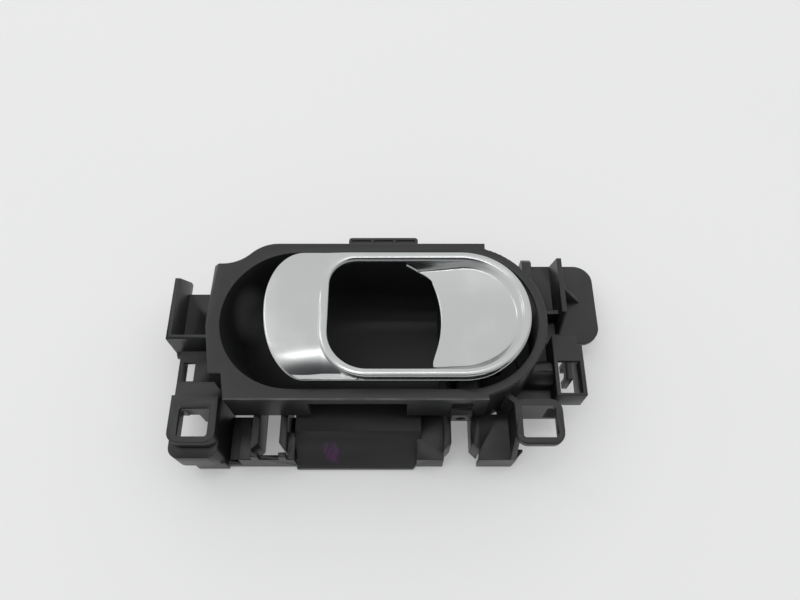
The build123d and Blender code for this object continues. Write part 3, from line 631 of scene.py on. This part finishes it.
def ringPath(form):
    half, left, end = form["halfWidth"] - form["barInset"], form["ringLeft"], form["endX"]
    north, south = form["northCorner"], form["southCorner"]
    counts = form["pathCounts"]
    runs = [
        linePoints((end, half), (left + north, half), (0.0, 1.0), counts[0]),
        arcPoints((left + north, half - north), north, 90, 180, counts[1]),
        linePoints((left, half - north), (left, south - half), (-1.0, 0.0), counts[2]),
        arcPoints((left + south, south - half), south, 180, 270, counts[3]),
        linePoints((left + south, -half), (end, -half), (0.0, -1.0), counts[4]),
        arcPoints((end, 0.0), half, -90, 90, counts[5]),
    ]
    return [np.concatenate(parts) for parts in zip(*runs)]


def leverOutline(form):
    half, lip, nose, y = form["halfWidth"], form["southLip"], form["noseX"], form["noseY"]
    quarter = np.radians(np.linspace(0.0, 90.0, form["noseCount"]))
    sine, cosine = np.sin(quarter), np.cos(quarter)
    north, south = form["noseNorth"], form["noseSouth"]
    upper = np.stack([nose + north - north * sine, y + (half - y) * cosine], axis=1)
    lower = np.stack([nose + south - south * cosine, y - (half + lip + y) * sine], axis=1)
    right, _ = arcPoints((form["endX"], 0.0), half, -90, 90, form["endCount"])
    right[:, 1] -= lip * (half - right[:, 1]) / (2 * half)
    return np.concatenate([upper, lower[1:], right, [(form["endX"], half)]])


def rayReach(points, normals, outline):
    # distance from each ring point, straight outwards, to the lever's outline
    edge = np.roll(outline, -1, axis=0) - outline
    gap = outline[None] - points[:, None]
    cross = normals[:, None, 0] * edge[None, :, 1] - normals[:, None, 1] * edge[None, :, 0]
    cross = np.where(np.abs(cross) < tiny, tiny, cross)
    along = (gap[..., 0] * edge[None, :, 1] - gap[..., 1] * edge[None, :, 0]) / cross
    share = (gap[..., 0] * normals[:, None, 1] - gap[..., 1] * normals[:, None, 0]) / cross
    along[(share < -slack) | (share > 1 + slack) | (along < 0)] = np.inf
    return along.min(axis=1)


def nearOutline(points, outline):
    # distance from each point to the nearest place on the lever's outline
    edge = np.roll(outline, -1, axis=0) - outline
    squared = np.maximum((edge ** 2).sum(axis=1), slack ** 2)
    gap = points[:, None] - outline[None]
    share = np.clip((gap * edge[None]).sum(axis=2) / squared, 0.0, 1.0)
    return np.linalg.norm(gap - share[..., None] * edge[None], axis=2).min(axis=1)


def smoothMax(first, second, width):
    share = np.clip(0.5 + 0.5 * (first - second) / width, 0.0, 1.0)
    return second * (1 - share) + first * share + width * share * (1 - share)


def smoothStep(value):
    share = np.clip(value, 0.0, 1.0)
    return share * share * (3 - 2 * share)


def leverTop(form, points, depth, outline):
    x, y = points[:, 0], points[:, 1]
    half, radius = form["halfWidth"], form["barRadius"]
    toNose = np.clip((form["ringLeft"] - x) / (form["ringLeft"] - form["noseX"]), 0.0, 1.0)
    crown = form["crown"] + form["swell"] * 4 * toNose * (1 - toNose) - form["noseFall"] * toNose ** 2
    toNorth = np.clip((y - form["northY"]) / (half - form["northY"]), 0.0, 1.0)
    crown = crown - form["northFall"] * toNorth ** 2
    rolled = np.clip((form["rollY"] - y) / (form["rollY"] + half), 0.0, 1.0)
    paddle = smoothMax(crown - form["rollFall"] * rolled ** 2, form["lipZ"], form["lipBlend"])
    # the ring's bar stands out of the paddle in the south and flows into it in the north
    bar = form["barTop"] - form["barSlope"] * np.clip(depth - form["barFlat"], 0.0, None)
    turn = np.clip(1 - (radius - depth) / form["barTurn"], 0.0, 1.0)
    bar = bar - form["barDrop"] * (1 - np.sqrt(1 - turn ** 2))
    bar = bar - form["barFall"] * np.clip(depth - radius, 0.0, None)
    creased = smoothMax(bar, paddle, form["crease"])
    rise = form["barTop"] - form["crown"]
    flowing = paddle + rise * np.exp(-(depth / form["shoulderWidth"]) ** 2)
    shoulder = np.clip(1 - depth / form["shoulderRun"], 0.0, 1.0)
    flowing = flowing - form["shoulderFall"] * shoulder ** 2
    low, high = form["creaseY"]
    north = smoothStep((y - low) / (high - low))
    edge = np.clip(1 - nearOutline(points, outline) / form["edgeRound"], 0.0, 1.0)
    rounded = form["edgeRound"] * (1 - np.sqrt(1 - edge ** 2))
    return creased * (1 - north) + flowing * north - rounded


def closedSweep(sections, capped):
    # each section joins the next, and the last meets the first or both ends are capped
    count, size, _ = sections.shape
    faces = []
    for i in range(count - 1 if capped else count):
        here, following = i * size, (i + 1) % count * size
        for j in range(size):
            beside = (j + 1) % size
            faces.append((here + j, here + beside, following + beside, following + j))
    if capped:
        faces.append(tuple(range(size - 1, -1, -1)))
        faces.append(tuple((count - 1) * size + j for j in range(size)))
    return sections.reshape(-1, 3), faces


def paddleSections(form):
    points, normals = ringPath(form)
    outline = leverOutline(form)
    reach = rayReach(points, normals, outline)
    radius = form["barRadius"]
    middle = leverTop(form, points, np.zeros(len(points)), outline) - radius
    rows = []
    for angle in np.radians(np.linspace(*form["innerArc"])):
        spot = points + normals * radius * math.cos(angle)
        rows.append(np.column_stack([spot, middle + radius * math.sin(angle)]))
    nearReach = np.minimum(form["nearWidth"], reach * form["nearShare"])
    farSteps = 0.5 - 0.5 * np.cos(np.pi * np.linspace(0.0, 1.0, form["farRows"]))[1:]
    depths = [nearReach * step for step in np.linspace(0.0, 1.0, form["nearRows"])]
    depths += [nearReach + (reach - nearReach) * step for step in farSteps]
    for depth in depths:
        spot = points + normals * depth[:, None]
        rows.append(np.column_stack([spot, leverTop(form, spot, depth, outline)]))
    edge = rows[-1]
    rows.append(edge - np.array([0.0, 0.0, form["edgeSkin"]]))
    shelter = np.maximum(reach - form["underEdge"], form["underLeast"])
    for step in np.linspace(1.0, 0.0, form["underRows"]):
        depth = form["underRing"] + (shelter - form["underRing"]) * step
        spot = points + normals * depth[:, None]
        under = leverTop(form, spot, depth, outline) - form["skin"]
        rows.append(np.column_stack([spot, np.maximum(under, middle - radius * form["underDepth"])]))
    return closedSweep(np.stack(rows, axis=1), False)


# thumb dish: its floor, the corners of its free edge, and the rows from the ring to that edge
dishForm = {
    "lowX": 16.0,
    "lowZ": 34.1,
    "tilt": math.radians(9.5),
    "hollow": 1.4,
    "hollowWidth": 18.0,
    "thickness": 2.2,
    "wall": 3.6,
    "wallEnd": (9.8, 20.3),
    "wallBend": (15.9, 19.0),
    "northPoint": (18.9, 15.2),
    "midPoint": (22.4, 0.6),
    "southPoint": (19.1, -15.9),
    "southBend": (18.3, -18.4),
    "southEnd": (19.6, -20.2),
    "start": 0.7,
    "sunk": 0.15,
    "sunkRate": 30,
    "edgeCounts": (50, 132, 26),
    "rows": ((0.0, 0.3, 25), (0.33, 0.94, 16)),
    "lastRows": (0.965, 0.985, 1.0),
    "lip": ((0.25, 0.04), (0.45, 0.16), (0.58, 0.36), (0.63, 0.62), (0.63, 1.75)),
}


def circleThrough(first, second, third):
    a, b, c = (np.array(p) for p in (first, second, third))
    centre = np.linalg.solve(2 * np.array([b - a, c - a]), [b @ b - a @ a, c @ c - a @ a])
    return centre, np.linalg.norm(a - centre)


def bendThrough(first, second, third, count):
    share = np.linspace(0.0, 1.0, count)[:, None]
    first, second, third = (np.array(p) for p in (first, second, third))
    return first * (1 - share) ** 2 + second * 2 * share * (1 - share) + third * share ** 2


def dishFloor(form, x, y=0.0):
    slope = math.tan(form["tilt"]) * (x - form["lowX"])
    return form["lowZ"] + slope + form["hollow"] * (y / form["hollowWidth"]) ** 2


def dishEdge(form):
    northCount, middleCount, southCount = form["edgeCounts"]
    northPoint, southPoint = form["northPoint"], form["southPoint"]
    north = bendThrough(form["wallEnd"], form["wallBend"], northPoint, northCount)
    centre, radius = circleThrough(northPoint, form["midPoint"], southPoint)
    ends = [math.atan2(p[1] - centre[1], p[0] - centre[0]) for p in (northPoint, southPoint)]
    sweep = np.linspace(*ends, middleCount)[1:-1]
    middle = centre + radius * np.stack([np.cos(sweep), np.sin(sweep)], axis=1)
    south = bendThrough(southPoint, form["southBend"], form["southEnd"], southCount)
    return north, middle, south


def dishSections(lever, form):
    half, end = lever["halfWidth"] - lever["barInset"], lever["endX"]
    north, middle, south = dishEdge(form)
    edge = np.concatenate([north, middle, south])
    northRun, arc = end - north[-1, 0], math.pi * half
    travel = np.linspace(0.0, northRun + arc + end - south[0, 0], len(middle) + 2)[1:-1]
    turn = np.clip((travel - northRun) / arc, 0.0, 1.0) * math.pi
    x = end - np.clip(northRun - travel, 0.0, None) + half * np.sin(turn)
    x = x - np.clip(travel - northRun - arc, 0.0, None)
    x = np.concatenate([north[:, 0], x, south[:, 0]])
    turn = np.concatenate([np.zeros(len(north)), turn, np.full(len(south), math.pi)])
    wallPoints = np.stack([x, half * np.cos(turn)], axis=1)
    begin = wallPoints + form["start"] * np.stack([-np.sin(turn), -np.cos(turn)], axis=1)
    crest = leverTop(lever, wallPoints, np.zeros(len(wallPoints)), leverOutline(lever))
    steps = np.concatenate([np.linspace(*run) for run in form["rows"]] + [form["lastRows"]])
    top = []
    for step in steps:
        spot = begin * (1 - step) + edge * step
        east = np.clip(spot[:, 0] - end, 0.0, None)
        away = half - np.hypot(east, spot[:, 1])
        floor = dishFloor(form, spot[:, 0], spot[:, 1])
        height = crest + (floor - crest) * smoothStep(away / form["wall"])
        sunk = form["sunk"] * max(1 - step * form["sunkRate"], 0.0)
        top.append(np.column_stack([spot, height - sunk]))
    outward = edge - begin
    outward = outward / np.linalg.norm(outward, axis=1)[:, None]
    lip = []
    for out, down in form["lip"]:
        row = top[-1].copy()
        row[:, :2] += outward * out
        row[:, 2] -= down
        lip.append(row)
    under = [row - np.array([0.0, 0.0, form["thickness"]]) for row in reversed(top)]
    return closedSweep(np.stack(top + lip + under, axis=1), True)


# flat seat under the dish for the arm
seatForm = {"left": 35.4, "right": 41.4, "half": 18.0, "bottom": 33.1, "sunk": 0.5}


def seatSections(dish, form):
    sections = []
    for x in (form["left"], form["right"]):
        top = dishFloor(dish, x) - dish["thickness"] + form["sunk"]
        half, bottom = form["half"], form["bottom"]
        sections.append([(x, -half, bottom), (x, half, bottom), (x, half, top), (x, -half, top)])
    return closedSweep(np.array(sections), True)


def makeLever():
    work = bmesh.new()
    for points, faces in (
        paddleSections(leverForm),
        dishSections(leverForm, dishForm),
        seatSections(dishForm, seatForm),
    ):
        part = bmesh.new()
        corners = [part.verts.new(Vector(p) * mm) for p in points]
        for face in faces:
            part.faces.new([corners[i] for i in face])
        bmesh.ops.recalc_face_normals(part, faces=part.faces)
        if part.calc_volume(signed=True) < 0:
            bmesh.ops.reverse_faces(part, faces=part.faces)
        draft = bpy.data.meshes.new("leverDraft")
        part.to_mesh(draft)
        part.free()
        work.from_mesh(draft)
        bpy.data.meshes.remove(draft)
    mesh = bpy.data.meshes.new("pullLever")
    work.to_mesh(mesh)
    work.free()
    smoothOver(mesh, leverForm["sharp"])
    return mesh


addPiece("pullLever", makeLever(), silver, "lever", "satin_silver", "lever")
print("lever shaped")


# Two screws that hold the arm to the dish
screwLow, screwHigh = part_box("arm_screws")
headRadius, headHeight = 2.5 * mm, 1.8 * mm
screwForm = {
    "Head Radius": headRadius,
    "Head Taper": 0.84,
    "Head Height": headHeight,
    "Shank Radius": 1.15 * mm,
    "Shank Length": screwHigh.z - screwLow.z - headHeight,
    "Thread Pitch": 0.9 * mm,
    "Thread Radius": 0.24 * mm,
    "Thread Share": 0.92,
    "Thread Runout": 0.8,
    "Spacing": screwHigh.y - screwLow.y - 2 * headRadius,
}
screwSharp = math.radians(35)


def makeScrews(form):
    tree = bpy.data.node_groups.new("armScrews", "GeometryNodeTree")
    sockets = {}
    for key in form:
        socket = tree.interface.new_socket(key, in_out="INPUT", socket_type="NodeSocketFloat")
        sockets[key] = socket.identifier
    tree.interface.new_socket("Geometry", in_out="OUTPUT", socket_type="NodeSocketGeometry")
    wire = Wire(tree)
    given = {key: wire.node("NodeGroupInput", output=key) for key in form}

    def raised(geometry, height):
        place = wire.node("ShaderNodeCombineXYZ", None, {"Z": height})
        return wire.node("GeometryNodeTransform", None, {"Geometry": geometry, "Translation": place})

    cone = {
        "Vertices": 40,
        "Radius Bottom": given["Head Radius"] * given["Head Taper"],
        "Radius Top": given["Head Radius"],
        "Depth": given["Head Height"],
    }
    head = wire.node("GeometryNodeMeshCone", None, cone, "Mesh")
    rod = {"Vertices": 24, "Radius": given["Shank Radius"], "Depth": given["Shank Length"]}
    shank = wire.node("GeometryNodeMeshCylinder", None, rod, "Mesh")
    shank = raised(shank, given["Head Height"] + given["Shank Length"] * 0.5)
    winding = {
        "Resolution": 24,
        "Rotations": given["Shank Length"] / given["Thread Pitch"] - given["Thread Runout"],
        "Start Radius": given["Shank Radius"],
        "End Radius": given["Shank Radius"],
        "Height": given["Shank Length"] * given["Thread Share"],
    }
    helix = wire.node("GeometryNodeCurveSpiral", None, winding)
    circle = {"Resolution": 6, "Radius": given["Thread Radius"]}
    ridge = wire.node("GeometryNodeCurvePrimitiveCircle", None, circle)
    sweep = {"Curve": helix, "Profile Curve": ridge, "Fill Caps": True}
    thread = wire.node("GeometryNodeCurveToMesh", None, sweep)
    thread = raised(thread, given["Head Height"] + given["Thread Radius"])
    joiner = tree.nodes.new("GeometryNodeJoinGeometry")
    for piece in (thread, shank, head):
        tree.links.new(piece.socket, joiner.inputs[0])
    screw = Wire(tree, joiner.outputs[0])
    apart = wire.node("ShaderNodeCombineXYZ", None, {"Y": given["Spacing"]})
    spots = wire.node("GeometryNodeMeshLine", None, {"Count": 2, "Offset": apart})
    placed = wire.node("GeometryNodeInstanceOnPoints", None, {"Points": spots, "Instance": screw})
    solid = wire.node("GeometryNodeRealizeInstances", None, {"Geometry": placed})
    zinced = wire.node("GeometryNodeSetMaterial", None, {"Geometry": solid, "Material": zinc})
    output = tree.nodes.new("NodeGroupOutput")
    tree.links.new(zinced.socket, output.inputs[0])
    obj = bpy.data.objects.new("screwDraft", bpy.data.meshes.new("screwDraft"))
    grower = obj.modifiers.new("armScrews", "NODES")
    grower.node_group = tree
    for key, value in form.items():
        grower[sockets[key]] = value
    bpy.context.scene.collection.objects.link(obj)
    mesh = bakeDown(obj, "armScrewPair")
    first = Vector(((screwLow.x + screwHigh.x) / 2, screwLow.y + form["Head Radius"], screwLow.z))
    for corner in mesh.vertices:
        corner.co += first
    smoothOver(mesh, screwSharp)
    return mesh


addPiece("armScrewPair", makeScrews(screwForm), zinc, "lever", "steel", "arm_screws")
print("screws set")


# Torsion spring: one leg stays in the cup's end wall, the coil winds, the other goes with the lever;
# here the part's own mesh is welded, smoothed and set on no body
springForm = {"wire": 1.0 * mm, "merge": 0.001 * mm, "sharp": math.radians(50)}


def makeSpring(form):
    work = bmesh.new()
    work.from_mesh(nodes["return_spring"].data)
    bmesh.ops.remove_doubles(work, verts=work.verts, dist=form["merge"])
    mesh = bpy.data.meshes.new("returnSpring")
    work.to_mesh(mesh)
    work.free()
    smoothOver(mesh, form["sharp"])
    return mesh


springMesh = makeSpring(springForm)
spring = addPiece("returnSpring", springMesh, springWire, None, "spring_steel", "return_spring")
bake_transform(spring)
print("spring wound")


# Pale table, soft light from above, and the camera of the photograph
studio = {
    "floorSize": 4.0,
    "floorLevel": -0.05 * mm,
    "floorColour": (0.66, 0.665, 0.66, 1.0),
    "floorShade": (0.64, 0.645, 0.642, 1.0),
    "floorLift": (0.245, 0.248, 0.245, 1.0),
    "floorCloud": 6.0,
    "floorDull": 0.75,
    "softBoxes": (
        {"name": "longBox", "place": (-0.03, 0.07, 0.90), "size": (0.52, 0.07), "power": 0.50},
        {"name": "sideBox", "place": (-0.64, 0.40, 0.86), "size": (0.08, 0.50), "power": 0.34},
    ),
    "worldLow": (0.46, 0.46, 0.47, 1.0),
    "worldHigh": (1.02, 1.02, 1.02, 1.0),
    "worldTowards": (-0.3, 0.9, 0.5),
    "worldRange": (-0.35, 0.30),
    "shaded": (0.05, 0.05, 0.06, 1.0),
    "shadedTowards": (0.0, -0.5, 0.866),
    "shadedRange": (0.89, 0.945),
    "cameraPlace": (7.445 * mm, -99.45 * mm, 254.0 * mm),
    "cameraTilt": math.radians(26.0),
    "cameraNear": 0.01,
    "lens": 30.6,
    "sensor": 36.0,
}


def towards(direction, aim):
    x, y, z = axes(direction)
    return x * aim[0] + y * aim[1] + z * aim[2]


def makeStudio(settings):
    half, level = settings["floorSize"] / 2, settings["floorLevel"]
    table = bpy.data.meshes.new("table")
    corners = [(x * half, y * half, level) for x, y in ((-1, -1), (1, -1), (1, 1), (-1, 1))]
    table.from_pydata(corners, [], [(0, 1, 2, 3)])
    floor = bpy.data.objects.new("table", table)
    bpy.context.scene.collection.objects.link(floor)
    constants = {"Roughness": settings["floorDull"], "Emission Strength": 1.0}
    material, wire, shader, place = newMaterial("paleTable", constants)
    cloud = noise(place, settings["floorCloud"])
    colour = blendColour(cloud, settings["floorColour"], settings["floorShade"])
    wire.feed(shader["Base Color"], colour)
    # shadows on the table stay pale to the eye and in reflections, and it lights nothing itself
    seen = wire.node("ShaderNodeLightPath", output="Is Camera Ray")
    seen = seen + wire.node("ShaderNodeLightPath", output="Is Glossy Ray")
    lift = blendColour(seen, (0.0, 0.0, 0.0, 1.0), settings["floorLift"])
    wire.feed(shader["Emission Color"], lift)
    putOn(floor, material)
    for soft in settings["softBoxes"]:
        lamp = bpy.data.lights.new(soft["name"], "AREA")
        lamp.shape = "RECTANGLE"
        lamp.size, lamp.size_y = soft["size"]
        lamp.energy = soft["power"]
        box = bpy.data.objects.new(soft["name"], lamp)
        box.location = soft["place"]
        box.rotation_euler = (-Vector(soft["place"])).to_track_quat("-Z", "Y").to_euler()
        bpy.context.scene.collection.objects.link(box)
    world = bpy.data.worlds.new("studio")
    world.use_nodes = True
    bpy.context.scene.world = world
    sky = Wire(world.node_tree)
    direction = sky.node("ShaderNodeTexCoord", output="Generated")
    bright = fade(towards(direction, settings["worldTowards"]), *settings["worldRange"])
    shade = blendColour(bright, settings["worldLow"], settings["worldHigh"])
    # the dark of whoever holds the camera
    dark = fade(towards(direction, settings["shadedTowards"]), *settings["shadedRange"])
    shade = blendColour(dark, shade, settings["shaded"])
    sky.feed(world.node_tree.nodes["Background"].inputs["Color"], shade)
    lens = bpy.data.cameras.new("viewpoint")
    lens.lens = settings["lens"]
    lens.sensor_width = settings["sensor"]
    lens.clip_start = settings["cameraNear"]
    viewpoint = bpy.data.objects.new("viewpoint", lens)
    viewpoint.location = settings["cameraPlace"]
    viewpoint.rotation_euler = (settings["cameraTilt"], 0.0, 0.0)
    bpy.context.scene.collection.objects.link(viewpoint)
    bpy.context.scene.camera = viewpoint
    bpy.context.scene.view_settings.view_transform = "Standard"


makeStudio(studio)
print("studio lit")
